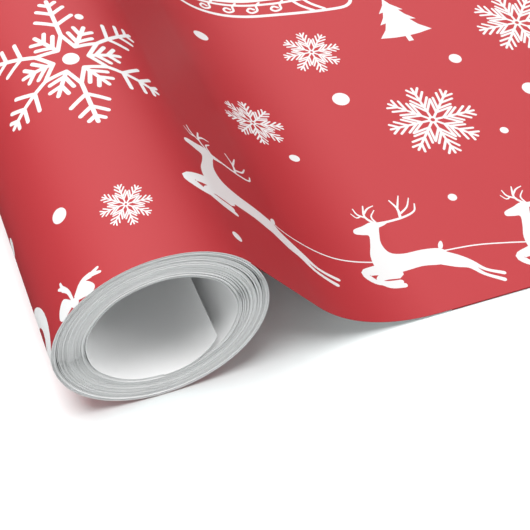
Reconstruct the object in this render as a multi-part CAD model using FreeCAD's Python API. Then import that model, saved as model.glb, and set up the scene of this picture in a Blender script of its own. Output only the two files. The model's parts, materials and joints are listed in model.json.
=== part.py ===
import FreeCAD, Part
import math
import os

# Wrapping paper roll: one long sheet of printed paper wound on itself without a tube.
# The sheet leaves the top of the roll, slopes down to the surface and lies flat there.
#
# Frame, in mm: +X is the way the sheet is drawn off, +Y runs along the roll from the
# near cut edge to the far one, +Z is up. The origin is on the surface under the roll
# and the sheet, at the centre of the footprint.

# ---- driving dimensions ----
PAPER_WIDTH = 762.0         # cut width of the sheet, which is the length of the roll
ROLL_DIAMETER = 50.0        # outside of the winding
HOLLOW_DIAMETER = 34.0      # open hollow along the middle of the winding
SHEET_REACH = 400.0         # from the roll's axis to the sheet's free edge
SHEET_THICKNESS = 0.3       # stands in for paper of about 0.12 mm
EDGE_TURN_THICKNESS = 0.4   # the outermost and the innermost turn
TURN_GAP = 0.1              # air between two bundles of turns
BUNDLE_COUNT = 3            # bundles of turns between the outermost and innermost turn
BODY_GAP = 0.3              # clearance between pieces that move past each other
LEAVE_ANGLE = 39.0          # where the sheet leaves the roll, in degrees above +X
FOOT_RADIUS = 46.0          # underside of the bend where the slope meets the surface
LAP_START = 3.0             # from the end of the bend to the hidden edge of the laid sheet
LAP_SPARE = 12.0            # lap that is left when one whole turn is drawn off
END_STRIP_WIDTH = 25.0      # one of the strips in which the free end can lift
END_STRIP_COUNT = 4
INNER_END_LENGTH = 15.7     # loose part of the sheet's inner end, inside the hollow
INNER_END_ANGLE = -85.0     # where the inner end leaves the hollow's wall
INNER_END_RADIUS = 12.85    # its own curve, which is tighter than the wall's

# ---- values that follow from them ----
ROLL_RADIUS = ROLL_DIAMETER / 2
HOLLOW_RADIUS = HOLLOW_DIAMETER / 2
AXIS_X = -(SHEET_REACH - ROLL_RADIUS) / 2
AXIS_Z = ROLL_RADIUS
NEAR_Y = -PAPER_WIDTH / 2
ONE_TURN = math.pi * ROLL_DIAMETER
SLOPE_ANGLE = LEAVE_ANGLE - 90
LAP_HEIGHT = SHEET_THICKNESS + BODY_GAP


def direction(degrees):
    """Unit vector in the XZ plane, measured from +X towards +Z."""
    angle = math.radians(degrees)
    return FreeCAD.Vector(math.cos(angle), 0, math.sin(angle))


def extrude_across(edges):
    """Closed outline in an XZ plane at the near cut edge, extruded over the paper's width."""
    face = Part.Face(Part.Wire(edges))
    return face.extrude(FreeCAD.Vector(0, PAPER_WIDTH, 0))


def flat_band(start, heading, length, thickness):
    """Flat strip of sheet: start is on its underside, heading is its slope in degrees."""
    along = direction(heading) * length
    across = direction(heading + 90) * thickness
    corners = [start, start + along, start + along + across, start + across]
    edges = []
    for index, corner in enumerate(corners):
        edges.append(Part.makeLine(corner, corners[(index + 1) % 4]))
    return extrude_across(edges)


def hollow_bend(centre, radius, thickness, from_angle, to_angle):
    """Strip of sheet bent around a centre above it; radius is that of its underside."""
    middle = (from_angle + to_angle) / 2
    inner = radius - thickness
    outer_points = [centre + direction(a) * radius for a in (from_angle, middle, to_angle)]
    inner_points = [centre + direction(a) * inner for a in (from_angle, middle, to_angle)]
    edges = [
        Part.Arc(*outer_points).toShape(),
        Part.makeLine(outer_points[2], inner_points[2]),
        Part.Arc(inner_points[2], inner_points[1], inner_points[0]).toShape(),
        Part.makeLine(inner_points[0], outer_points[0]),
    ]
    return extrude_across(edges)


def turns(outer_radius, inner_radius):
    """Bundle of turns: a tube along the roll's axis."""
    base = FreeCAD.Vector(AXIS_X, NEAR_Y, AXIS_Z)
    along = FreeCAD.Vector(0, 1, 0)
    outside = Part.makeCylinder(outer_radius, PAPER_WIDTH, base, along)
    return outside.cut(Part.makeCylinder(inner_radius, PAPER_WIDTH, base, along))


def winding():
    """The turns on the roll, from the outermost to the innermost."""
    first_inside = ROLL_RADIUS - EDGE_TURN_THICKNESS
    last_outside = HOLLOW_RADIUS + EDGE_TURN_THICKNESS
    gaps = (BUNDLE_COUNT + 1) * TURN_GAP
    bundle = (first_inside - last_outside - gaps) / BUNDLE_COUNT
    nodes = {"outermost_turn": turns(ROLL_RADIUS, first_inside)}
    outside = first_inside - TURN_GAP
    for number in range(1, BUNDLE_COUNT + 1):
        nodes[f"wound_turns_{number}"] = turns(outside, outside - bundle)
        outside -= bundle + TURN_GAP
    nodes["innermost_turn"] = turns(last_outside, HOLLOW_RADIUS)
    return nodes


def inner_end():
    """Loose inner end of the sheet, which curls away from the hollow's wall."""
    axis = FreeCAD.Vector(AXIS_X, NEAR_Y, AXIS_Z)
    centre = axis + direction(INNER_END_ANGLE) * (HOLLOW_RADIUS - BODY_GAP - INNER_END_RADIUS)
    end_angle = INNER_END_ANGLE + math.degrees(INNER_END_LENGTH / INNER_END_RADIUS)
    return hollow_bend(centre, INNER_END_RADIUS, SHEET_THICKNESS, INNER_END_ANGLE, end_angle)


def slope_and_lap():
    """Sheet between the roll and the surface, and its flat lap over the laid sheet."""
    axis = FreeCAD.Vector(AXIS_X, NEAR_Y, AXIS_Z)
    leave = axis + direction(LEAVE_ANGLE) * (ROLL_RADIUS + BODY_GAP)
    drop = math.radians(-SLOPE_ANGLE)
    bend_height = FOOT_RADIUS * (1 - math.cos(drop))
    slope_length = (leave.z - LAP_HEIGHT - bend_height) / math.sin(drop)
    bend_start = leave + direction(SLOPE_ANGLE) * slope_length
    bend_centre = bend_start + direction(SLOPE_ANGLE + 90) * FOOT_RADIUS
    lap_start = FreeCAD.Vector(bend_centre.x, NEAR_Y, LAP_HEIGHT)
    lap_length = LAP_START + ONE_TURN + LAP_SPARE
    nodes = {
        "leaving_sheet": flat_band(leave, SLOPE_ANGLE, slope_length, SHEET_THICKNESS),
        "foot_bend": hollow_bend(bend_centre, FOOT_RADIUS, SHEET_THICKNESS, SLOPE_ANGLE - 90, -90),
        "lap_sheet": flat_band(lap_start, 0, lap_length, SHEET_THICKNESS),
    }
    print("slope length", round(slope_length, 2), "bend ends at x", round(lap_start.x, 2))
    print("lap ends at x", round(lap_start.x + lap_length, 2))
    return nodes, lap_start.x + LAP_START


def laid_and_free_end(laid_start):
    """Sheet that lies flat on the surface, and the strips of its free end."""
    nodes = {}
    free_edge = AXIS_X + SHEET_REACH
    laid_end = free_edge - END_STRIP_COUNT * END_STRIP_WIDTH
    start = FreeCAD.Vector(laid_start, NEAR_Y, 0)
    nodes["laid_sheet"] = flat_band(start, 0, laid_end - laid_start, SHEET_THICKNESS)
    for number in range(1, END_STRIP_COUNT + 1):
        hinge = laid_end + (number - 1) * END_STRIP_WIDTH
        start = FreeCAD.Vector(hinge + BODY_GAP, NEAR_Y, 0)
        width = END_STRIP_WIDTH - BODY_GAP
        nodes[f"free_end_strip_{number}"] = flat_band(start, 0, width, SHEET_THICKNESS)
        print("hinge", number, "at x", round(hinge + BODY_GAP / 2, 3))
    return nodes


def build():
    """Every named piece of the part."""
    nodes = winding()
    nodes["inner_loose_end"] = inner_end()
    sheet_nodes, laid_start = slope_and_lap()
    nodes.update(sheet_nodes)
    nodes.update(laid_and_free_end(laid_start))
    print("roll axis at x", AXIS_X, "z", AXIS_Z, "one turn", round(ONE_TURN, 3))
    return nodes


os.makedirs("parts", exist_ok=True)
for name, shape in build().items():
    shape.exportStep(f"parts/{name}.step")
    print(name, "valid", shape.isValid(), "volume", round(shape.Volume, 1))
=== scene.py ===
"""Wrapping paper roll: the printed sheet, the winding, its loose ends and a small studio.

Every piece of paper starts as a flat slab: run is measured along the paper, place across it and
height up from its upper face, all in mm. On the printed pieces the print is cut into the flat
slab. The slab is then bent along a path: round the roll, down the slope or along the surface.
"""

import json
import math
import random

import bmesh
import bpy
from mathutils import Matrix, Vector
from mathutils.geometry import delaunay_2d_cdt


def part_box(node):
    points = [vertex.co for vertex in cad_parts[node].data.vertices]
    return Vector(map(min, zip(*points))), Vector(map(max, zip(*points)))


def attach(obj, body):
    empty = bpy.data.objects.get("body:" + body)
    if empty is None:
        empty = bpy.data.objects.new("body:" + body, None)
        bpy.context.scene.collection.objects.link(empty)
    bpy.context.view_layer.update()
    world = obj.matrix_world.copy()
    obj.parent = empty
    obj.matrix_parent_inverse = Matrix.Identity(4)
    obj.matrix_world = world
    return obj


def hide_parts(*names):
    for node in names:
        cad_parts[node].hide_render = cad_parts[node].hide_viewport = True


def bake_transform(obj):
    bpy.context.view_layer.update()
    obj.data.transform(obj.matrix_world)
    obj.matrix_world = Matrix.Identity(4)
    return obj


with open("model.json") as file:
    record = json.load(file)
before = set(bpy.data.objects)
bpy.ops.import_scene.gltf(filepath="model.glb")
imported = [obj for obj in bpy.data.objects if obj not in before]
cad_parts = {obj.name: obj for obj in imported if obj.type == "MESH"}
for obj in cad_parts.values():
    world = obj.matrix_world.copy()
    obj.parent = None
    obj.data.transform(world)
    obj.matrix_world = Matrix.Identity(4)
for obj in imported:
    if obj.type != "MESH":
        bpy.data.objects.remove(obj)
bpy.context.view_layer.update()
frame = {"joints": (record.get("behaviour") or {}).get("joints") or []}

bl_info = {
    "name": "Wrapping Paper Roll",
    "version": (1, 0, 0),
    "blender": (4, 5, 0),
    "location": "View3D > Sidebar > Wrapping Paper",
    "description": "Builds a roll of printed gift wrapping paper with its sheet drawn off",
    "category": "Add Mesh",
}

MM = 0.001

# ---- places from the frame, in mm ----
ROLL_LOW, ROLL_HIGH = (corner / MM for corner in map(Vector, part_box("outermost_turn")))
ROLL_RADIUS = (ROLL_HIGH.z - ROLL_LOW.z) / 2
AXIS_X = (ROLL_LOW.x + ROLL_HIGH.x) / 2
AXIS_Z = (ROLL_LOW.z + ROLL_HIGH.z) / 2
NEAR_Y = ROLL_LOW.y
PAPER_WIDTH = ROLL_HIGH.y - ROLL_LOW.y
LAP_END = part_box("lap_sheet")[1][0] / MM
LAID_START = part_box("laid_sheet")[0][0] / MM
FREE_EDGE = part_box("free_end_strip_4")[1][0] / MM
HINGES = {joint["name"]: Vector(joint["pos_m"]) / MM for joint in frame["joints"] if "pos_m" in joint}
INNER_HINGE = HINGES["inner_end_flex"] - Vector((AXIS_X, 0, AXIS_Z))
INNER_HINGE_ANGLE = math.atan2(INNER_HINGE.z, INNER_HINGE.x)
HINGE_GAP = 0.15            # from the hinge of the loose inner end to the hollow's wall
HOLLOW_RADIUS = INNER_HINGE.length + HINGE_GAP

# ---- how the paper lies, in mm ----
END_STRIPS = 4              # strips of the free end, one at each of its hinges
LAP_GAP = 0.4               # from the surface to the underside of the lap
FLOOR_DEPTH = 0.3           # from the surface that the paper touches to the floor's face
INNER_ROOT = 1.4            # part of the loose inner end that still follows the wall
MEAN_RADIUS = (ROLL_RADIUS + HOLLOW_RADIUS) / 2

# ---- how the turns of the winding are spaced ----
LOOSE_SHARE = 0.16          # share of the turns with a wide space under them
LOOSE_SPACE = (1.4, 2.2)    # least and most of that space, where the mean space is about 1
CLOSE_SPACE = (0.75, 1.05)  # and of the space under the other turns
# waves round a turn, and the most that they add to a space, as a share of it
SWAY_WAVES = ((1, 0.30), (2, 0.16), (5, 0.10), (9, 0.06))
SPACE_SEED = 11
SWAY_SEED = 5
RAGGED_SEED = 3

# ---- how finely the paper is modelled, in mm ----
ROLL_COLUMN = 1.6           # width of a column of faces where the sheet is bent
FLAT_COLUMN = 40.0          # and where it is flat
LIFT_COLUMN = 1.2           # and in the free end
INNER_COLUMN = 0.7          # and in the loose inner end
TURN_COLUMNS = 90           # columns in one turn of the winding
DOT_SIDES = 24              # sides of a round dot
LEAD_WIDTH = 0.42           # width of the traces between the reindeer and the sleigh
CUT_TOLERANCE = 0.0001      # corners of the print that are nearer than this become one
WELD_DISTANCE = 0.002       # and where two repeats of the print meet
FLAT_ANGLE = 0.01           # most that joined faces of the back may differ, in radians
COLUMN_DECIMALS = 3         # decimals that tell the runs of two columns apart
COLUMN_ROUNDING = 1e-6      # keeps a rounding error from adding a column
TURN_ROUNDING = 1e-9        # and from losing a turn
TRIANGLES_ONLY = 0          # the kind of result that the cutting is asked for

# ---- material slots of each piece of paper ----
RED_PRINT = 0
WHITE_PRINT = 1
PAPER_BACK = 2
CUT_EDGE = 3

# ---- finish ----
PAPER_SPECULAR = 0.27       # how strongly the paper's face mirrors, where 0.5 is usual
FIBRE_HEIGHT = 0.00004      # of the relief, in metres


class PaperRollSettings(bpy.types.PropertyGroup):
    """Sizes and colours that can be changed without changing the frame."""

    paper_thickness: bpy.props.FloatProperty(
        name="Paper thickness", description="Thickness of the sheet",
        default=0.00012, min=0.00005, max=0.0003, unit="LENGTH", precision=5)
    turn_count: bpy.props.IntProperty(
        name="Turns", description="Turns of paper left in the winding",
        default=40, min=10, max=70)
    leave_angle: bpy.props.FloatProperty(
        name="Leave angle", description="Where the sheet leaves the roll, above the horizontal",
        default=math.radians(39), subtype="ANGLE")
    foot_radius: bpy.props.FloatProperty(
        name="Foot radius", description="Radius of the bend at the foot of the slope",
        default=0.046, unit="LENGTH")
    inner_end_length: bpy.props.FloatProperty(
        name="Inner end length", description="Loose part of the sheet inside the hollow",
        default=0.0157, unit="LENGTH")
    inner_end_radius: bpy.props.FloatProperty(
        name="Inner end radius", description="Radius to which the loose inner end curls",
        default=0.01285, unit="LENGTH")
    repeat_width: bpy.props.FloatProperty(
        name="Print repeat", description="Repeat of the print across the sheet",
        default=0.1905, unit="LENGTH")
    end_raggedness: bpy.props.FloatProperty(
        name="End raggedness", description="How far the turns stand in or out at the roll's ends",
        default=0.0004, min=0.0, max=0.002, unit="LENGTH")
    red: bpy.props.FloatVectorProperty(
        name="Red print", description="Ground colour of the print", subtype="COLOR",
        size=3, default=(0.40, 0.019, 0.026))
    white: bpy.props.FloatVectorProperty(
        name="White print", description="Colour of the motifs", subtype="COLOR",
        size=3, default=(0.72, 0.72, 0.72))
    back: bpy.props.FloatVectorProperty(
        name="Paper back", description="Colour of the uncoated back", subtype="COLOR",
        size=3, default=(0.55, 0.555, 0.555))
    core: bpy.props.FloatVectorProperty(
        name="Cut edge", description="Colour of the paper's cut edge", subtype="COLOR",
        size=3, default=(0.62, 0.625, 0.625))


def settings():
    """The scene's paper roll settings."""
    return bpy.context.scene.paper_roll


# ---- flat outlines, in mm: each motif is a list of closed outlines that may overlap ----

def polar(radius, degrees):
    """Point at a distance and direction from the origin."""
    angle = math.radians(degrees)
    return (radius * math.cos(angle), radius * math.sin(angle))


def disc(x, y, radius):
    """Round dot."""
    corners = [polar(radius, 360 * i / DOT_SIDES) for i in range(DOT_SIDES)]
    return [(x + cx, y + cy) for cx, cy in corners]


def smooth(points, closed, steps):
    """Points along a smooth curve through the given points."""
    count = len(points)
    spans = count if closed else count - 1
    curve = []
    for i in range(spans):
        if closed:
            p0, p1, p2, p3 = (Vector(points[(i + k) % count]) for k in (-1, 0, 1, 2))
        else:
            p1, p2 = Vector(points[i]), Vector(points[i + 1])
            p0 = Vector(points[i - 1]) if i else 2 * p1 - p2
            p3 = Vector(points[i + 2]) if i + 2 < count else 2 * p2 - p1
        for step in range(steps):
            t = step / steps
            curve.append(0.5 * (2 * p1 + (p2 - p0) * t
                                + (2 * p0 - 5 * p1 + 4 * p2 - p3) * t ** 2
                                + (3 * p1 - p0 - 3 * p2 + p3) * t ** 3))
    if not closed:
        curve.append(Vector(points[-1]))
    return curve


def blob(points, steps=4):
    """Closed smooth outline."""
    return [tuple(p) for p in smooth(points, True, steps)]


def ribbon(points, widths, steps=4, ends=3):
    """Tapered stroke along a smooth curve, with round ends, or square ones where ends is 0."""
    line = smooth(points, False, steps)
    if not hasattr(widths, "__len__"):
        widths = [widths] * len(points)
    halves = [w.x / 2 for w in smooth([(w, 0) for w in widths], False, steps)]
    left, right = [], []
    for i, point in enumerate(line):
        along = (line[min(i + 1, len(line) - 1)] - line[max(i - 1, 0)]).normalized()
        side = Vector((-along.y, along.x)) * halves[i]
        left.append(point + side)
        right.append(point - side)

    def cap(centre, edge):
        arm = edge - centre
        return [centre + Matrix.Rotation(-math.pi * k / (ends + 1), 2) @ arm for k in range(1, ends + 1)]

    outline = left + cap(line[-1], left[-1]) + right[::-1] + cap(line[0], right[0])
    return [tuple(p) for p in outline]


def stroke(start, end, width):
    """Straight stroke with round ends."""
    return ribbon([start, end], width, steps=1)


def barbs(radius, degrees, length, width, spread):
    """Pair of side branches on a snowflake's arm."""
    base = polar(radius, degrees)
    pair = []
    for side in (-spread, spread):
        dx, dy = polar(length, degrees + side)
        pair.append(stroke(base, (base[0] + dx, base[1] + dy), width))
    return pair


def fine_flake():
    """Snowflake with eight barbed arms between the points of a star, of radius 1."""
    width = 0.055
    outlines = []
    for arm in range(8):
        angle = 45 * arm
        valley = polar(0.25, angle)
        outlines.append(stroke(valley, polar(0.61, angle + 22.5), width))
        outlines.append(stroke(polar(0.61, angle - 22.5), valley, width))
        outlines.append(stroke(polar(0.08, angle), polar(0.97, angle), width))
        outlines.append(stroke(polar(0.08, angle), polar(0.08, angle + 45), width))
        for radius, length in ((0.37, 0.33), (0.57, 0.30), (0.77, 0.22)):
            outlines += barbs(radius, angle, length, width, 36)
    return outlines


def bold_flake():
    """Snowflake with six long and six short arms around a dot, of radius 1."""
    width = 0.048
    outlines = [disc(0, 0, 0.09)]
    for arm in range(6):
        angle = 60 * arm + 30
        tip, valley = polar(0.39, angle), polar(0.19, angle + 30)
        outlines.append(stroke(valley, tip, width))
        outlines.append(stroke(valley, polar(0.39, angle + 60), width))
        outlines.append(stroke(tip, polar(0.98, angle), width))
        for radius, length in ((0.56, 0.24), (0.75, 0.175), (0.89, 0.10)):
            outlines += barbs(radius, angle, length, width, 56)
        short = angle + 30
        outlines.append(stroke(valley, polar(0.54, short), width))
        for radius, length in ((0.27, 0.18), (0.40, 0.14)):
            outlines += barbs(radius, short, length, width, 46)
    return outlines


def dot():
    """Dot of radius 1."""
    return [disc(0, 0, 1)]


def tree():
    """Fir tree in three tiers, 19 mm high, with the foot of its trunk at the origin."""
    side = [(0.0, 19.5), (1.3, 16.6), (4.0, 13.4), (2.5, 13.7), (3.6, 11.4), (5.9, 8.6),
            (3.9, 9.0), (5.4, 6.2), (8.4, 3.2), (4.2, 2.5), (0.8, 2.3), (0.8, 0.0)]
    return [side + [(-x, y) for x, y in reversed(side[1:])]]


def reindeer():
    """Leaping reindeer facing -X, 37 mm from its front knee to its hind hoof."""
    outlines = [
        blob([(4.6, 26.0), (5.0, 27.5), (8.2, 28.4), (10.8, 29.2), (12.9, 28.4), (11.7, 25.4),
              (10.4, 21.4), (11.2, 18.0), (14.6, 16.6), (20.0, 16.3), (24.6, 15.3), (26.2, 13.2),
              (25.6, 10.6), (22.4, 10.2), (17.6, 11.2), (11.6, 11.0), (7.2, 10.8), (5.0, 13.2),
              (5.3, 17.6), (7.2, 21.6), (8.3, 24.7), (6.6, 25.3)]),
        blob([(11.8, 28.4), (13.6, 28.6), (15.2, 27.8), (13.4, 27.1), (12.0, 27.0)], 3),
        blob([(24.5, 15.4), (25.2, 16.9), (26.3, 17.5), (26.2, 16.2), (25.4, 15.0)], 3),
        ribbon([(23.4, 12.6), (26.8, 9.6), (29.8, 7.4), (32.0, 3.8), (36.2, 0.3)],
               [5.2, 3.4, 1.9, 1.0, 1.2]),
        ribbon([(23.0, 13.0), (27.6, 10.6), (30.6, 8.2), (33.2, 4.9), (37.2, 2.3)],
               [4.6, 2.8, 1.6, 0.95, 1.1]),
        ribbon([(9.0, 12.6), (4.4, 12.8), (0.9, 12.0), (2.6, 9.2), (6.0, 8.2), (9.8, 8.0)],
               [5.4, 3.2, 2.4, 1.7, 1.5, 1.4]),
        ribbon([(9.6, 11.4), (6.0, 10.6), (3.9, 9.3), (6.2, 7.2), (10.2, 6.7)],
               [4.6, 2.6, 1.6, 1.4, 1.5]),
        ribbon([(12.4, 28.3), (16.0, 28.1), (20.6, 28.3), (24.2, 29.4), (25.5, 31.8)],
               [0.9, 0.75, 0.7, 0.55, 0.35]),
    ]
    tines = [
        ([(19.6, 28.5), (20.2, 31.6), (19.3, 35.0)], 0.65),
        ([(20.1, 31.4), (21.4, 33.8), (22.5, 35.8)], 0.5),
        ([(20.4, 29.8), (23.0, 31.4), (24.9, 34.2)], 0.5),
        ([(12.0, 28.4), (10.2, 31.4), (11.4, 35.2)], 0.65),
        ([(10.4, 31.0), (8.5, 32.6), (8.1, 34.8)], 0.5),
        ([(10.4, 32.4), (12.2, 34.0), (14.2, 34.6)], 0.5),
        ([(12.4, 28.5), (12.0, 31.0), (13.8, 33.0)], 0.45),
        ([(9.2, 31.9), (7.8, 31.5), (6.8, 33.2)], 0.4),
    ]
    for points, width in tines:
        outlines.append(ribbon(points, [width * 1.25, width, width * 0.6], steps=3))
    return outlines


def sleigh():
    """Empty sleigh facing -X on scrolled runners, 58 mm long, its lowest point at y 0."""
    body = blob([
        (6.0, 13.4), (4.2, 19.0), (0.8, 23.6), (-0.6, 27.4), (2.2, 28.4), (5.4, 25.2), (9.5, 21.6),
        (16.0, 19.6), (24.0, 19.4), (31.0, 21.6), (36.4, 26.4), (41.0, 32.0), (46.4, 35.0),
        (49.6, 33.2), (48.2, 27.0), (47.0, 20.0), (45.6, 12.0), (41.0, 9.2), (30.0, 9.6), (17.0, 11.4)])
    runner = ribbon([(-3.0, 17.0), (-1.6, 11.6), (3.4, 8.0), (12.0, 5.7), (24.0, 3.9), (38.0, 1.9),
                     (48.0, 0.9), (53.8, 1.0), (56.6, 3.4), (55.2, 6.4), (52.4, 5.4)], 1.1)
    rail = ribbon([(3.0, 13.0), (9.0, 11.6), (20.0, 9.6), (32.0, 7.8), (42.0, 7.4)], 0.9)
    outlines = [body, runner, rail]
    for x, low in ((7.0, 7.4), (14.5, 6.0), (22.0, 4.9), (29.5, 3.9)):
        outlines.append(ribbon([
            (x + 3.4, low + 1.9), (x + 2.2, low + 2.7), (x + 1.1, low + 1.7), (x + 2.2, low + 0.6),
            (x + 4.2, low + 1.2), (x + 4.6, low + 3.2), (x + 6.0, low + 4.4)], 0.75))
    for x in (38.0, 41.5):
        outlines.append(ribbon([(x, 8.6), (x + 2.0, 5.0), (x + 5.4, 1.6)], 1.0))
    return outlines


def bow():
    """Gift bow of two loops, 12 mm across, with its knot at the origin and tails downwards."""
    outlines = [blob([(-0.9, 0.8), (0.9, 0.8), (1.0, -0.8), (-1.0, -0.8)])]
    for side in (-1, 1):
        outlines.append(blob([(side * x, y) for x, y in (
            (0.4, -0.3), (1.5, -2.1), (2.9, -3.0), (4.8, -1.9), (5.8, -0.1), (4.7, 1.0), (2.2, 0.6))]))
    for route, tips in (
            ([(0.3, -0.6), (0.7, -3.4), (1.9, -5.2)], ((2.0, -6.7), (3.0, -5.9))),
            ([(-0.5, -0.9), (-3.3, -2.8), (-5.8, -2.9)], ((-7.7, -3.5), (-7.9, -2.2)))):
        outlines.append(ribbon(route, [0.7, 1.0, 1.4], ends=0))
        for tip in tips:
            outlines.append(ribbon([route[-1], tip], [1.1, 0.6], steps=1))
    return outlines


def cane():
    """Hooked cane, 22 mm high, with its foot at the origin."""
    return [ribbon([(0, 0), (0, 8), (0, 15.5), (-2.0, 19.2), (-5.6, 19.4), (-7.6, 16.2), (-7.4, 13.6)],
                   [2.8, 3.1, 3.5, 3.7, 3.7, 3.5, 3.0])]


def present():
    """Gift box with a bow on it, 16 mm wide, with its base at y 0."""
    outlines = [
        [(-7.4, 0), (-0.9, 0), (-0.9, 9.4), (-7.4, 9.4)],
        [(0.9, 0), (7.4, 0), (7.4, 9.4), (0.9, 9.4)],
        [(-8.4, 10.4), (-0.9, 10.4), (-0.9, 13.4), (-8.4, 13.4)],
        [(0.9, 10.4), (8.4, 10.4), (8.4, 13.4), (0.9, 13.4)],
    ]
    for side in (-1, 1):
        outlines.append(blob([(side * x, y) for x, y in (
            (0.4, 14.2), (2.6, 17.6), (5.6, 18.4), (6.2, 16.2), (3.4, 14.3))]))
    return outlines


MOTIFS = {make.__name__: make() for make in (
    fine_flake, bold_flake, dot, tree, reindeer, sleigh, bow, cane, present)}


# ---- layout of the print: motif, run from where the sheet leaves the roll, place across the
# sheet, size along it, size across it, and turn in degrees ----

MAIN_LAYOUT = [
    ("bold_flake", -23.4, 63.7, 22.3, 22.5, 0),
    ("fine_flake", -25.1, 16.2, 5.8, 5.9, 0),
    ("fine_flake", 46.8, 72.9, 10.5, 9.0, 0),
    ("fine_flake", 79.3, 102.5, 9.1, 9.6, 0),
    ("fine_flake", 101.5, 64.2, 14.1, 14.6, 0),
    ("fine_flake", 148.8, 96.7, 14.0, 14.7, 0),
    ("dot", -39.3, 22.2, 1.9, 1.9, 0),
    ("dot", -17.2, 78.5, 1.1, 1.1, 0),
    ("dot", -61.0, 33.0, 2.2, 2.2, 0),
    ("dot", -0.3, 7.6, 1.7, 1.3, 0),
    ("dot", 45.1, 111.6, 2.7, 2.1, 0),
    ("dot", 54.9, 59.5, 1.7, 1.4, 0),
    ("dot", 92.4, 34.7, 1.3, 1.3, 0),
    ("dot", 79.2, 80.4, 2.6, 2.7, 0),
    ("dot", 121.0, 86.8, 2.0, 2.1, 0),
    ("dot", 119.8, 53.9, 1.3, 1.3, 0),
    ("dot", 136.7, 67.7, 2.5, 2.6, 0),
    ("tree", 111.7, 98.5, 1.06, 1.11, 0),
    ("sleigh", 44.0, 119.1, 1.02, 1.12, 0),
    ("reindeer", -9.3, 11.2, 1.49, 1.0, 0),
    ("reindeer", 55.6, 4.0, 1.0, 1.0, 0),
    ("reindeer", 98.8, -2.1, 1.0, 1.0, 0),
    ("bow", -43.2, 0.9, 1.0, 1.0, 180),
    ("cane", -79.0, 17.5, -1.3, 1.25, 110),
    # the part of the sheet further out
    ("sleigh", 146.0, -10.4, 1.0, 1.02, 0),
    ("bold_flake", 204.0, 66.0, 18.0, 18.5, 15),
    ("fine_flake", 231.0, 27.0, 9.4, 9.6, 10),
    ("fine_flake", 195.0, 121.0, 8.6, 9.0, 0),
    ("tree", 233.0, 94.0, 1.2, 1.2, 0),
    ("tree", 169.0, 40.0, 0.94, 0.96, 0),
    ("cane", 221.0, 121.0, 1.0, 1.1, -20),
    ("bow", 168.0, 135.0, 1.1, 1.2, 0),
    ("present", 138.0, 128.0, 1.1, 1.1, 0),
    ("dot", 180.0, 94.0, 2.1, 2.2, 0),
    ("dot", 222.0, 52.5, 1.5, 1.5, 0),
    ("dot", 241.0, 63.0, 2.3, 2.4, 0),
    ("dot", 240.0, 137.0, 1.8, 1.9, 0),
    ("dot", 147.0, 38.0, 1.8, 1.8, 0),
    ("dot", 123.0, 149.0, 2.2, 2.3, 0),
    # the part of the sheet that is still on the roll
    ("reindeer", -4.0, 126.0, 1.04, 1.05, 0),
    ("reindeer", -48.0, 129.5, 1.04, 1.05, 0),
    ("reindeer", -91.0, 132.5, 1.04, 1.05, 0),
    ("fine_flake", -72.0, 100.0, 9.0, 9.0, 0),
    ("fine_flake", -127.0, 122.0, 11.0, 11.5, 12),
    ("bold_flake", -126.0, 39.0, 17.0, 17.0, 0),
    ("tree", -96.0, 66.0, 1.1, 1.1, 0),
    ("present", -114.0, 4.0, 1.0, 1.0, 0),
    ("fine_flake", -70.0, 54.0, 7.0, 7.0, 0),
    ("dot", -50.0, 98.0, 1.8, 1.8, 0),
    ("dot", -106.0, 98.0, 2.0, 2.0, 0),
    ("dot", -146.0, 82.0, 2.2, 2.2, 0),
    ("dot", -104.5, 47.5, 1.4, 1.4, 0),
    ("dot", -150.0, 145.0, 1.8, 1.8, 0),
    ("dot", -13.5, 109.7, 1.9, 2.0, 0),
    # between the two teams
    ("fine_flake", -122.0, 172.0, 8.0, 8.0, 0),
    ("cane", -74.0, 172.0, 0.8, 0.8, 60),
    ("dot", -96.0, 176.0, 1.8, 1.8, 0),
    ("dot", -48.0, 178.0, 1.4, 1.4, 0),
    ("fine_flake", -22.0, 177.0, 6.5, 6.5, 15),
    ("dot", 12.0, 180.0, 1.9, 1.9, 0),
    ("fine_flake", 96.0, 166.0, 9.0, 9.0, 0),
    ("dot", 124.0, 172.0, 1.5, 1.5, 0),
    ("fine_flake", 212.0, 168.0, 10.0, 10.0, 5),
    ("tree", 238.0, 164.0, 0.9, 0.9, 0),
    ("dot", 184.0, 176.0, 2.0, 2.0, 0),
]

# traces between the reindeer and the sleigh, as points of run and place
MAIN_LEADS = [
    [(28.9, 26.3), (37.7, 24.4), (49.1, 21.2), (62.0, 19.5)],
    [(80.4, 18.2), (89.7, 17.3), (97.9, 15.5), (105.6, 13.4)],
    [(123.7, 12.2), (133.0, 11.7), (140.3, 13.2), (146.3, 17.7)],
    [(21.0, 142.0), (28.0, 140.8), (35.0, 142.0), (43.2, 148.0)],
    [(-22.6, 145.8), (-14.0, 144.8), (-5.5, 143.8), (3.0, 142.2)],
    [(-65.6, 148.6), (-57.0, 147.8), (-49.0, 146.6), (-41.0, 145.4)],
]

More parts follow.
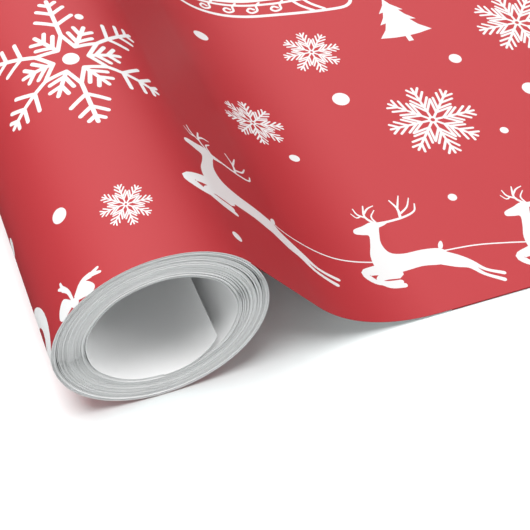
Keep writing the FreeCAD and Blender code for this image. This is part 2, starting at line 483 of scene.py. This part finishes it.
# one repeat of the sheet that has already been drawn off, from the lap's edge onwards
LAID_LAYOUT = [
    ("reindeer", 7.6, 20.0, 1.0, 1.04, 0),
    ("reindeer", 49.6, 14.5, 1.0, 1.04, 0),
    ("sleigh", 95.0, 6.5, 0.98, 1.0, 0),
    ("bold_flake", 32.0, 92.0, 20.0, 20.0, 0),
    ("fine_flake", 82.0, 74.0, 10.0, 10.0, 8),
    ("fine_flake", 128.0, 128.0, 13.0, 13.0, 0),
    ("fine_flake", 14.0, 140.0, 8.0, 8.0, 0),
    ("fine_flake", 84.0, 172.0, 9.0, 9.0, 15),
    ("tree", 120.0, 64.0, 1.1, 1.1, 0),
    ("tree", 58.0, 134.0, 1.1, 1.1, 0),
    ("tree", 140.0, 164.0, 0.9, 0.9, 0),
    ("present", 92.0, 116.0, 1.1, 1.1, 0),
    ("present", 30.0, 164.0, 1.0, 1.0, 0),
    ("cane", 146.0, 74.0, 1.0, 1.0, 12),
    ("bow", 104.0, 92.0, 1.1, 1.1, -12),
    ("dot", 10.0, 64.0, 1.9, 1.9, 0),
    ("dot", 62.0, 62.0, 2.3, 2.3, 0),
    ("dot", 68.0, 108.0, 1.5, 1.5, 0),
    ("dot", 146.0, 104.0, 1.9, 1.9, 0),
    ("dot", 42.0, 148.0, 2.0, 2.0, 0),
    ("dot", 106.0, 152.0, 1.6, 1.6, 0),
    ("dot", 100.0, 52.0, 1.6, 1.6, 0),
    ("dot", 8.0, 176.0, 2.0, 2.0, 0),
    ("dot", 116.0, 178.0, 1.8, 1.8, 0),
    ("dot", 60.0, 178.0, 1.4, 1.4, 0),
]

LAID_LEADS = [
    [(31.4, 35.4), (40.0, 34.4), (48.0, 32.4), (56.0, 30.8)],
    [(73.8, 29.4), (80.0, 28.8), (87.0, 30.2), (94.4, 34.0)],
]


def lay_out(layout, leads):
    """Outlines of a layout, placed on the flat sheet."""
    outlines = [ribbon(points, LEAD_WIDTH, steps=6) for points in leads]
    for name, run, place, size_run, size_place, turn in layout:
        spin = Matrix.Rotation(math.radians(turn), 2)
        for outline in MOTIFS[name]:
            turned = [spin @ Vector(point) for point in outline]
            outlines.append([(run + p.x * size_run, place + p.y * size_place) for p in turned])
    return outlines


def shifted(outlines, run):
    """The same outlines further along the sheet."""
    return [[(x + run, y) for x, y in outline] for outline in outlines]


# ---- paths: the upper face's x, z and heading at a run along the paper ----

def turn_path(run):
    """Outermost turn, from the line where the sheet leaves it (run 0) backwards."""
    first_gap = winding_gaps()[0]
    turned = -run / (ROLL_RADIUS - first_gap / 2)
    radius = ROLL_RADIUS - first_gap * turned / math.tau
    angle = settings().leave_angle + turned
    return (AXIS_X + radius * math.cos(angle), AXIS_Z + radius * math.sin(angle), angle - math.pi / 2)


def turn_length():
    """Length of the outermost turn."""
    return math.tau * (ROLL_RADIUS - winding_gaps()[0] / 2)


def winding_gaps():
    """Distance from each turn to the next: turns lie in bundles with a little air between."""
    chance = random.Random(SPACE_SEED)
    count = settings().turn_count
    depth = ROLL_RADIUS - HOLLOW_RADIUS - settings().paper_thickness / MM
    spaces = []
    for turn in range(count):
        loose = turn > 1 and chance.random() < LOOSE_SHARE
        least, most = LOOSE_SPACE if loose else CLOSE_SPACE
        spaces.append(chance.uniform(least, most))
    total = sum(spaces)
    return [space * depth / total for space in spaces]


def winding_length():
    """Length of the winding under the outermost turn, taken at its mean radius."""
    last_part = (INNER_HINGE_ANGLE - settings().leave_angle) % math.tau
    turned = math.tau * (settings().turn_count - 2) + last_part
    return turned * MEAN_RADIUS - INNER_ROOT


def winding_path(gaps):
    """Spiral under the outermost turn. Its run is measured at the mean radius."""
    chance = random.Random(SWAY_SEED)
    sway = []
    for _ in gaps:
        sway.append([(waves, chance.uniform(0.0, most), chance.uniform(0, math.tau))
                     for waves, most in SWAY_WAVES])
    sway[0] = []

    def place(run):
        turned = math.tau - run / MEAN_RADIUS
        turn = min(int(turned / math.tau + TURN_ROUNDING), len(gaps) - 1)
        part = turned / math.tau - turn
        angle = settings().leave_angle + turned
        depth = 0.0
        for i in range(turn + 1):
            wave = sum(most * math.sin(waves * angle + phase) for waves, most, phase in sway[i])
            gap = gaps[i] * (1 + wave)
            depth += gap if i < turn else gap * part
        radius = ROLL_RADIUS - depth
        return (AXIS_X + radius * math.cos(angle), AXIS_Z + radius * math.sin(angle), angle - math.pi / 2)

    return place


def inner_end_path(gaps):
    """Loose inner end: its root follows the wall, and the rest curls away from it."""
    wound = winding_path(gaps)
    start_x, start_z, heading = wound(-winding_length())
    root_angle = heading + math.pi / 2
    wall = math.hypot(start_x - AXIS_X, start_z - AXIS_Z)
    curl = settings().inner_end_radius / MM
    leave = root_angle + INNER_ROOT / wall
    centre_x = AXIS_X + (wall - curl) * math.cos(leave)
    centre_z = AXIS_Z + (wall - curl) * math.sin(leave)

    def place(run):
        if -run <= INNER_ROOT:
            angle = root_angle - run / wall
            return (AXIS_X + wall * math.cos(angle), AXIS_Z + wall * math.sin(angle), angle - math.pi / 2)
        angle = leave + (-run - INNER_ROOT) / curl
        return (centre_x + curl * math.cos(angle), centre_z + curl * math.sin(angle), angle - math.pi / 2)

    return place


def sheet_path():
    """Slope, bend and flat lap: the path, the runs where the first two end, and the bend's end in X."""
    slope = math.pi / 2 - settings().leave_angle
    thickness = settings().paper_thickness / MM
    lap_top = LAP_GAP + thickness
    bend_radius = settings().foot_radius / MM
    start_x = AXIS_X + ROLL_RADIUS * math.cos(settings().leave_angle)
    start_z = AXIS_Z + ROLL_RADIUS * math.sin(settings().leave_angle)
    bend_height = bend_radius * (1 - math.cos(slope))
    straight = (start_z - lap_top - bend_height) / math.sin(slope)
    bend_end = straight + bend_radius * slope
    flat_x = start_x + straight * math.cos(slope) + bend_radius * math.sin(slope)

    def place(run):
        if run <= straight:
            return (start_x + run * math.cos(slope), start_z - run * math.sin(slope), -slope)
        if run <= bend_end:
            left = (bend_end - run) / bend_radius
            return (flat_x - bend_radius * math.sin(left),
                    lap_top + bend_radius * (1 - math.cos(left)), -left)
        return (flat_x + run - bend_end, lap_top, 0.0)

    return place, straight, bend_end, flat_x


def flat_path(run_at_lap_end):
    """Laid sheet: flat on the surface, level with its own thickness."""
    top = settings().paper_thickness / MM

    def place(run):
        return (LAP_END + run - run_at_lap_end, top, 0.0)

    return place


# ---- slabs of paper ----

def counter_clockwise(outline):
    """The outline in counter-clockwise order."""
    area = sum(a[0] * b[1] - b[0] * a[1] for a, b in zip(outline, outline[1:] + outline[:1]))
    return outline if area > 0 else outline[::-1]


def columns(start, end, width):
    """Evenly spaced runs from start up to end, without end itself."""
    count = max(1, math.ceil((end - start) / width - COLUMN_ROUNDING))
    return [start + (end - start) * i / count for i in range(count)]


def cut_print(runs, outlines):
    """One repeat across the sheet of the flat print, cut out of columns of faces."""
    repeat = settings().repeat_width / MM
    low, high = runs[0], runs[-1]
    points = [(low, 0), (high, 0), (high, repeat), (low, repeat)]
    edges, faces = [], [[0, 1, 2, 3]]
    for run in runs[1:-1]:
        edges.append((len(points), len(points) + 1))
        points += [(run, 0), (run, repeat)]
    for outline in outlines:
        if max(x for x, _ in outline) < low or min(x for x, _ in outline) > high:
            continue
        for shift in (-repeat, 0, repeat):
            copy = [(x, y + shift) for x, y in counter_clockwise(outline)]
            if max(y for _, y in copy) < 0 or min(y for _, y in copy) > repeat:
                continue
            faces.append(list(range(len(points), len(points) + len(copy))))
            points += copy
    corners, _, triangles, _, _, owners = delaunay_2d_cdt(
        [Vector(p) for p in points], edges, faces, TRIANGLES_ONLY, CUT_TOLERANCE)
    bm = bmesh.new()
    verts = [bm.verts.new((c.x, c.y, 0)) for c in corners]
    for triangle, owner in zip(triangles, owners):
        # outline 0 is the sheet itself, and a triangle of the print lies in another one too
        if 0 in owner:
            face = bm.faces.new([verts[i] for i in triangle])
            face.material_index = WHITE_PRINT if len(owner) > 1 else RED_PRINT
    bmesh.ops.delete(bm, geom=[v for v in verts if not v.link_faces], context="VERTS")
    return bm


def repeat_across(bm):
    """Copies one repeat of the print over the whole width of the sheet."""
    repeat = settings().repeat_width / MM
    count = round(PAPER_WIDTH / repeat)
    first = bm.verts[:] + bm.edges[:] + bm.faces[:]
    for number in range(1, count):
        copy = bmesh.ops.duplicate(bm, geom=first)["geom"]
        verts = [item for item in copy if isinstance(item, bmesh.types.BMVert)]
        bmesh.ops.translate(bm, vec=(0, repeat * number, 0), verts=verts)
    bmesh.ops.remove_doubles(bm, verts=bm.verts, dist=WELD_DISTANCE)


def thicken(bm, rim):
    """Gives the flat sheet its thickness, a plain back and a rim. Returns the back's faces."""
    bm.normal_update()
    top = bm.faces[:]
    bmesh.ops.reverse_faces(bm, faces=[face for face in top if face.normal.z < 0])
    below = bmesh.ops.duplicate(bm, geom=bm.verts[:] + bm.edges[:] + top)
    under = [item for item in below["geom"] if isinstance(item, bmesh.types.BMFace)]
    verts = [item for item in below["geom"] if isinstance(item, bmesh.types.BMVert)]
    bmesh.ops.translate(bm, vec=(0, 0, -settings().paper_thickness / MM), verts=verts)
    bmesh.ops.reverse_faces(bm, faces=under)
    open_edges = [edge for edge in bm.edges if edge.is_boundary]
    sides = bmesh.ops.bridge_loops(bm, edges=open_edges)["faces"]
    for face in under:
        face.material_index = PAPER_BACK
    for face in sides:
        face.material_index = rim
    bm.normal_update()
    return under


def join_back(bm, under, runs):
    """Joins the faces of the back in each column, because the back has no print."""
    stops = {round(run, COLUMN_DECIMALS) for run in runs}
    # each edge and corner once, in an order that is the same in every run of the script
    edges = list(dict.fromkeys(edge for face in under for edge in face.edges))
    verts = list(dict.fromkeys(vert for edge in edges for vert in edge.verts))
    for edge in edges:
        first, second = (round(vert.co.x, COLUMN_DECIMALS) for vert in edge.verts)
        edge.seam = first == second and first in stops
    bmesh.ops.dissolve_limit(bm, angle_limit=FLAT_ANGLE, verts=verts, edges=edges, delimit={"SEAM"})


def bend(bm, name, place):
    """Bends a flat slab along a path and makes it an object, in metres."""
    uv = bm.loops.layers.uv.new("run")
    headings = {}
    for vert in bm.verts:
        headings[vert] = place(vert.co.x)
    normals = []
    bm.normal_update()
    for face in bm.faces:
        face.smooth = True
        flat = face.normal.copy()
        for loop in face.loops:
            loop[uv].uv = (loop.vert.co.x * MM, loop.vert.co.y * MM)
            heading = headings[loop.vert][2]
            normals.append((flat.x * math.cos(heading) - flat.z * math.sin(heading), flat.y,
                            flat.x * math.sin(heading) + flat.z * math.cos(heading)))
    for vert, (x, z, heading) in headings.items():
        height = vert.co.z
        vert.co = ((x - height * math.sin(heading)) * MM, (NEAR_Y + vert.co.y) * MM,
                   (z + height * math.cos(heading)) * MM)
    mesh = bpy.data.meshes.new(name)
    bm.to_mesh(mesh)
    bm.free()
    mesh.normals_split_custom_set(normals)
    piece = bpy.data.objects.new(name, mesh)
    bpy.context.scene.collection.objects.link(piece)
    for material in paper_materials():
        mesh.materials.append(material)
    return piece


def printed_piece(name, runs, outlines, place, rim=RED_PRINT):
    """Printed sheet between two runs, bent along a path."""
    bm = cut_print(runs, outlines)
    repeat_across(bm)
    under = thicken(bm, rim)
    join_back(bm, under, runs)
    return bend(bm, name, place)


def plain_strip(length, count):
    """Unprinted strip that ends at run 0, in columns of faces over the sheet's whole width."""
    bm = bmesh.new()
    bmesh.ops.create_grid(bm, x_segments=count, y_segments=1, size=0.5)
    bmesh.ops.scale(bm, vec=(length, PAPER_WIDTH, 1), verts=bm.verts)
    bmesh.ops.translate(bm, vec=(-length / 2, PAPER_WIDTH / 2, 0), verts=bm.verts)
    for face in bm.faces:
        face.material_index = PAPER_BACK
    thicken(bm, CUT_EDGE)
    return bm


# ---- materials ----

def paper_surface_group():
    """Fibre and coating texture of paper: a height for the bump and an uneven tone."""
    group = bpy.data.node_groups.get("paper_surface")
    if group:
        return group
    group = bpy.data.node_groups.new("paper_surface", "ShaderNodeTree")
    sockets = group.interface
    sockets.new_socket("Vector", in_out="INPUT", socket_type="NodeSocketVector")
    for label, value in (("Fibre size", 2600.0), ("Cloud size", 38.0), ("Tone spread", 0.03)):
        sockets.new_socket(label, in_out="INPUT", socket_type="NodeSocketFloat").default_value = value
    sockets.new_socket("Height", in_out="OUTPUT", socket_type="NodeSocketFloat")
    sockets.new_socket("Tone", in_out="OUTPUT", socket_type="NodeSocketFloat")
    nodes, links = group.nodes, group.links
    entry, leave = nodes.new("NodeGroupInput"), nodes.new("NodeGroupOutput")
    fibre, cloud = nodes.new("ShaderNodeTexNoise"), nodes.new("ShaderNodeTexNoise")
    fibre.inputs["Detail"].default_value = 5.0
    fibre.inputs["Distortion"].default_value = 0.6
    cloud.inputs["Detail"].default_value = 3.0
    links.new(entry.outputs["Vector"], fibre.inputs["Vector"])
    links.new(entry.outputs["Vector"], cloud.inputs["Vector"])
    links.new(entry.outputs["Fibre size"], fibre.inputs["Scale"])
    links.new(entry.outputs["Cloud size"], cloud.inputs["Scale"])
    both = nodes.new("ShaderNodeMath")
    both.operation = "ADD"
    links.new(fibre.outputs["Fac"], both.inputs[0])
    links.new(cloud.outputs["Fac"], both.inputs[1])
    centred = nodes.new("ShaderNodeMath")
    centred.operation = "SUBTRACT"
    centred.inputs[1].default_value = 1.0
    links.new(both.outputs[0], centred.inputs[0])
    tone = nodes.new("ShaderNodeMath")
    tone.operation = "MULTIPLY_ADD"
    tone.inputs[2].default_value = 1.0
    links.new(centred.outputs[0], tone.inputs[0])
    links.new(entry.outputs["Tone spread"], tone.inputs[1])
    links.new(fibre.outputs["Fac"], leave.inputs["Height"])
    links.new(tone.outputs[0], leave.inputs["Tone"])
    return group


def paper_material(name, colour, roughness, relief, spread):
    """Paper of one colour, with its fibres in the tone, the roughness and the relief."""
    material = bpy.data.materials.get(name)
    if material:
        return material
    material = bpy.data.materials.new(name)
    material.use_nodes = True
    nodes, links = material.node_tree.nodes, material.node_tree.links
    shader = nodes["Principled BSDF"]
    place = nodes.new("ShaderNodeUVMap")
    place.uv_map = "run"
    surface = nodes.new("ShaderNodeGroup")
    surface.node_tree = paper_surface_group()
    surface.inputs["Tone spread"].default_value = spread
    links.new(place.outputs["UV"], surface.inputs["Vector"])
    tint = nodes.new("ShaderNodeVectorMath")
    tint.operation = "SCALE"
    tint.inputs[0].default_value = colour
    links.new(surface.outputs["Tone"], tint.inputs["Scale"])
    links.new(tint.outputs["Vector"], shader.inputs["Base Color"])
    gloss = nodes.new("ShaderNodeMath")
    gloss.operation = "MULTIPLY"
    gloss.inputs[1].default_value = roughness
    links.new(surface.outputs["Tone"], gloss.inputs[0])
    links.new(gloss.outputs[0], shader.inputs["Roughness"])
    bump = nodes.new("ShaderNodeBump")
    bump.inputs["Strength"].default_value = relief
    bump.inputs["Distance"].default_value = FIBRE_HEIGHT
    links.new(surface.outputs["Height"], bump.inputs["Height"])
    links.new(bump.outputs["Normal"], shader.inputs["Normal"])
    shader.inputs["Specular IOR Level"].default_value = PAPER_SPECULAR
    return material


def paper_materials():
    """Printed red, printed white, uncoated back and cut core, in the order of the slots."""
    look = settings()
    return [
        paper_material("printed_red", look.red, roughness=0.52, relief=0.25, spread=0.05),
        paper_material("printed_white", look.white, roughness=0.52, relief=0.25, spread=0.02),
        paper_material("paper_back", look.back, roughness=0.85, relief=0.6, spread=0.05),
        paper_material("paper_core", look.core, roughness=0.9, relief=0.5, spread=0.10),
    ]


# ---- pieces ----

class PAPER_OT_printed_turn(bpy.types.Operator):
    """Add the printed turn on the outside of the roll"""

    bl_idname = "paper_roll.printed_turn"
    bl_label = "Printed Turn"

    def execute(self, context):
        length = turn_length()
        runs = columns(-length, 0, ROLL_COLUMN) + [0]
        outlines = lay_out(MAIN_LAYOUT, MAIN_LEADS)
        piece = printed_piece("printed_turn", runs, outlines, turn_path, rim=CUT_EDGE)
        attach(piece, "roll")
        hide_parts("outermost_turn")
        return {"FINISHED"}


class PAPER_OT_winding(bpy.types.Operator):
    """Add the turns of paper under the printed one"""

    bl_idname = "paper_roll.winding"
    bl_label = "Winding"

    def execute(self, context):
        gaps = winding_gaps()
        length = winding_length()
        one_turn = math.tau * MEAN_RADIUS
        bm = plain_strip(length, round(length / one_turn * TURN_COLUMNS))
        chance = random.Random(RAGGED_SEED)
        ragged = settings().end_raggedness / MM
        stands = [(chance.uniform(0, ragged), chance.uniform(0, ragged)) for _ in range(len(gaps) + 1)]
        for vert in bm.verts:
            turn = int(-vert.co.x / one_turn)
            part = -vert.co.x / one_turn - turn
            near = stands[turn][0] * (1 - part) + stands[turn + 1][0] * part
            far = stands[turn][1] * (1 - part) + stands[turn + 1][1] * part
            vert.co.y += near if vert.co.y < PAPER_WIDTH / 2 else -far
        piece = bend(bm, "wound_paper", winding_path(gaps))
        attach(piece, "roll")
        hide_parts("wound_turns_1", "wound_turns_2", "wound_turns_3", "innermost_turn")
        return {"FINISHED"}


class PAPER_OT_drawn_sheet(bpy.types.Operator):
    """Add the sheet from the roll down the slope to the end of its lap"""

    bl_idname = "paper_roll.drawn_sheet"
    bl_label = "Drawn Sheet"

    def execute(self, context):
        place, straight, bend_end, flat_x = sheet_path()
        length = bend_end + LAP_END - flat_x
        runs = columns(0, straight, straight / 4) + columns(straight, bend_end, ROLL_COLUMN)
        runs += columns(bend_end, length, FLAT_COLUMN) + [length]
        piece = printed_piece("drawn_sheet", runs, lay_out(MAIN_LAYOUT, MAIN_LEADS), place)
        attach(piece, "run_off")
        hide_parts("leaving_sheet", "foot_bend", "lap_sheet")
        return {"FINISHED"}


class PAPER_OT_laid_sheet(bpy.types.Operator):
    """Add the sheet that has been drawn off and its free end"""

    bl_idname = "paper_roll.laid_sheet"
    bl_label = "Laid Sheet and Free End"

    def execute(self, context):
        tile = lay_out(LAID_LAYOUT, LAID_LEADS)
        one_turn = math.tau * ROLL_RADIUS
        outlines = tile + shifted(tile, -one_turn)
        place = flat_path(0.0)
        hinges = [HINGES[f"end_lift_{i + 1}"].x - LAP_END for i in range(END_STRIPS)]
        half = (hinges[1] - hinges[0]) / 2
        stops = [hinge - half for hinge in hinges] + [hinges[-1] + half]
        runs = columns(LAID_START - LAP_END, stops[0], FLAT_COLUMN) + [stops[0]]
        laid = printed_piece("laid_paper", runs, outlines, place)
        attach(laid, "laid")
        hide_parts("laid_sheet")
        bodies = ["laid"] + [f"free_end_{i + 1}" for i in range(END_STRIPS)]
        for i in range(END_STRIPS):
            start, end = stops[i], stops[i + 1]
            runs = columns(start, end, LIFT_COLUMN) + [end]
            piece = printed_piece(f"free_end_bend_{i + 1}", runs, outlines, place)
            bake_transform(piece)
            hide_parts(f"free_end_strip_{i + 1}")
        last = FREE_EDGE - LAP_END
        piece = printed_piece("free_edge", columns(stops[-1], last, LIFT_COLUMN) + [last], outlines, place)
        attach(piece, bodies[-1])
        return {"FINISHED"}


class PAPER_OT_inner_end(bpy.types.Operator):
    """Add the loose inner end inside the hollow"""

    bl_idname = "paper_roll.inner_end"
    bl_label = "Loose Inner End"

    def execute(self, context):
        gaps = winding_gaps()
        length = INNER_ROOT + settings().inner_end_length / MM
        place = inner_end_path(gaps)
        piece = bend(plain_strip(length, round(length / INNER_COLUMN)), "inner_end", place)
        start, end = place(0), place(-2 * INNER_ROOT)
        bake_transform(piece)
        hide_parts("inner_loose_end")
        return {"FINISHED"}


# ---- the studio ----
ROOM_LIGHT = 0.36           # what the surroundings give off
BACKDROP_WHITE = 1.1        # how bright they look past the floor's edge
FLOOR_REACH = 20.0          # from the floor's middle to its edges, in metres
FLOOR_COLOUR = (0.91, 0.95, 0.95, 1)
FLOOR_ROUGHNESS = 0.9
CAMERA_PLACE = (-49.2, -140.9, 227.7)   # from the surface under the roll's near end, in mm
CAMERA_PAN = -27.06         # about the vertical, in degrees
CAMERA_TILT = 39.94         # up from straight down
CAMERA_ROLL = 6.70          # about its own line of sight
CAMERA_LENS = 78.2          # focal length, in mm
CAMERA_NEAR = 0.01          # nearest that it sees, in metres

# name, direction towards the light, strength, how wide it looks in degrees, what it lights
STUDIO_LIGHTS = (
    ("key", (-0.18, -0.02, 0.98), 3.1, 30, "everything"),
    ("side", (-0.85, 0.05, 0.50), 0.35, 60, "everything"),
    ("sheen", (-0.05, 0.55, 0.83), 4.6, 100, "gloss"),
    ("hollow", (0.62, -0.28, 0.73), 1.25, 30, "winding"),
)


class PAPER_OT_studio(bpy.types.Operator):
    """Add the floor, the lights and the camera"""

    bl_idname = "paper_roll.studio"
    bl_label = "Studio"

    def execute(self, context):
        scene = context.scene
        bm = bmesh.new()
        bmesh.ops.create_grid(bm, x_segments=1, y_segments=1, size=FLOOR_REACH)
        mesh = bpy.data.meshes.new("floor")
        bm.to_mesh(mesh)
        bm.free()
        floor = bpy.data.objects.new("floor", mesh)
        floor.location.z = -FLOOR_DEPTH * MM
        scene.collection.objects.link(floor)
        material = bpy.data.materials.new("floor_white")
        material.use_nodes = True
        shader = material.node_tree.nodes["Principled BSDF"]
        shader.inputs["Base Color"].default_value = FLOOR_COLOUR
        shader.inputs["Roughness"].default_value = FLOOR_ROUGHNESS
        mesh.materials.append(material)

        winding = bpy.data.collections.new("winding")
        for name in ("wound_paper", "inner_end"):
            winding.objects.link(bpy.data.objects[name])
        for name, towards, strength, angle, lights in STUDIO_LIGHTS:
            light = bpy.data.lights.new(name, "SUN")
            light.energy = strength
            light.angle = math.radians(angle)
            lamp = bpy.data.objects.new(name, light)
            lamp.rotation_euler = Vector(towards).to_track_quat("Z", "Y").to_euler()
            lamp.visible_diffuse = lights != "gloss"
            if lights == "winding":
                lamp.light_linking.receiver_collection = winding
            scene.collection.objects.link(lamp)

        world = bpy.data.worlds.new("studio")
        world.use_nodes = True
        nodes, links = world.node_tree.nodes, world.node_tree.links
        nodes["Background"].inputs["Color"].default_value = (1, 1, 1, 1)
        rays = nodes.new("ShaderNodeLightPath")
        brightness = nodes.new("ShaderNodeMath")
        brightness.operation = "MULTIPLY_ADD"
        brightness.inputs[1].default_value = BACKDROP_WHITE - ROOM_LIGHT
        brightness.inputs[2].default_value = ROOM_LIGHT
        links.new(rays.outputs["Is Camera Ray"], brightness.inputs[0])
        links.new(brightness.outputs[0], nodes["Background"].inputs["Strength"])
        scene.world = world
        # the print mirrors neither the room nor the floor, only the lights
        world.cycles_visibility.glossy = False
        floor.visible_glossy = False

        camera = bpy.data.cameras.new("camera")
        camera.lens = CAMERA_LENS
        camera.clip_start = CAMERA_NEAR
        view = bpy.data.objects.new("camera", camera)
        beside, before, above = CAMERA_PLACE
        spot = Vector((AXIS_X + beside, NEAR_Y + before, above)) * MM
        turn = Matrix.Rotation(math.radians(CAMERA_PAN), 4, "Z")
        turn @= Matrix.Rotation(math.radians(CAMERA_TILT), 4, "X")
        turn @= Matrix.Rotation(math.radians(CAMERA_ROLL), 4, "Z")
        view.matrix_world = Matrix.Translation(spot) @ turn
        scene.collection.objects.link(view)
        scene.camera = view
        scene.view_settings.view_transform = "Standard"
        return {"FINISHED"}


class PAPER_PT_panel(bpy.types.Panel):
    """Settings and pieces of the wrapping paper roll"""

    bl_idname = "PAPER_PT_panel"
    bl_label = "Wrapping Paper Roll"
    bl_space_type = "VIEW_3D"
    bl_region_type = "UI"
    bl_category = "Wrapping Paper"

    def draw(self, context):
        look = context.scene.paper_roll
        for name in PaperRollSettings.__annotations__:
            self.layout.prop(look, name)
        for operator in OPERATORS:
            self.layout.operator(operator.bl_idname)


OPERATORS = [PAPER_OT_printed_turn, PAPER_OT_winding, PAPER_OT_drawn_sheet, PAPER_OT_laid_sheet,
             PAPER_OT_inner_end, PAPER_OT_studio]
CLASSES = [PaperRollSettings] + OPERATORS + [PAPER_PT_panel]


def register():
    """Registers the classes and the settings."""
    for cls in CLASSES:
        bpy.utils.register_class(cls)
    bpy.types.Scene.paper_roll = bpy.props.PointerProperty(type=PaperRollSettings)


def unregister():
    """Removes the settings and the classes."""
    del bpy.types.Scene.paper_roll
    for cls in reversed(CLASSES):
        bpy.utils.unregister_class(cls)


def main():
    """Builds the pieces and the stage."""
    register()
    for operator in OPERATORS:
        group, name = operator.bl_idname.split(".")
        getattr(getattr(bpy.ops, group), name)()


if __name__ == "__main__":
    main()
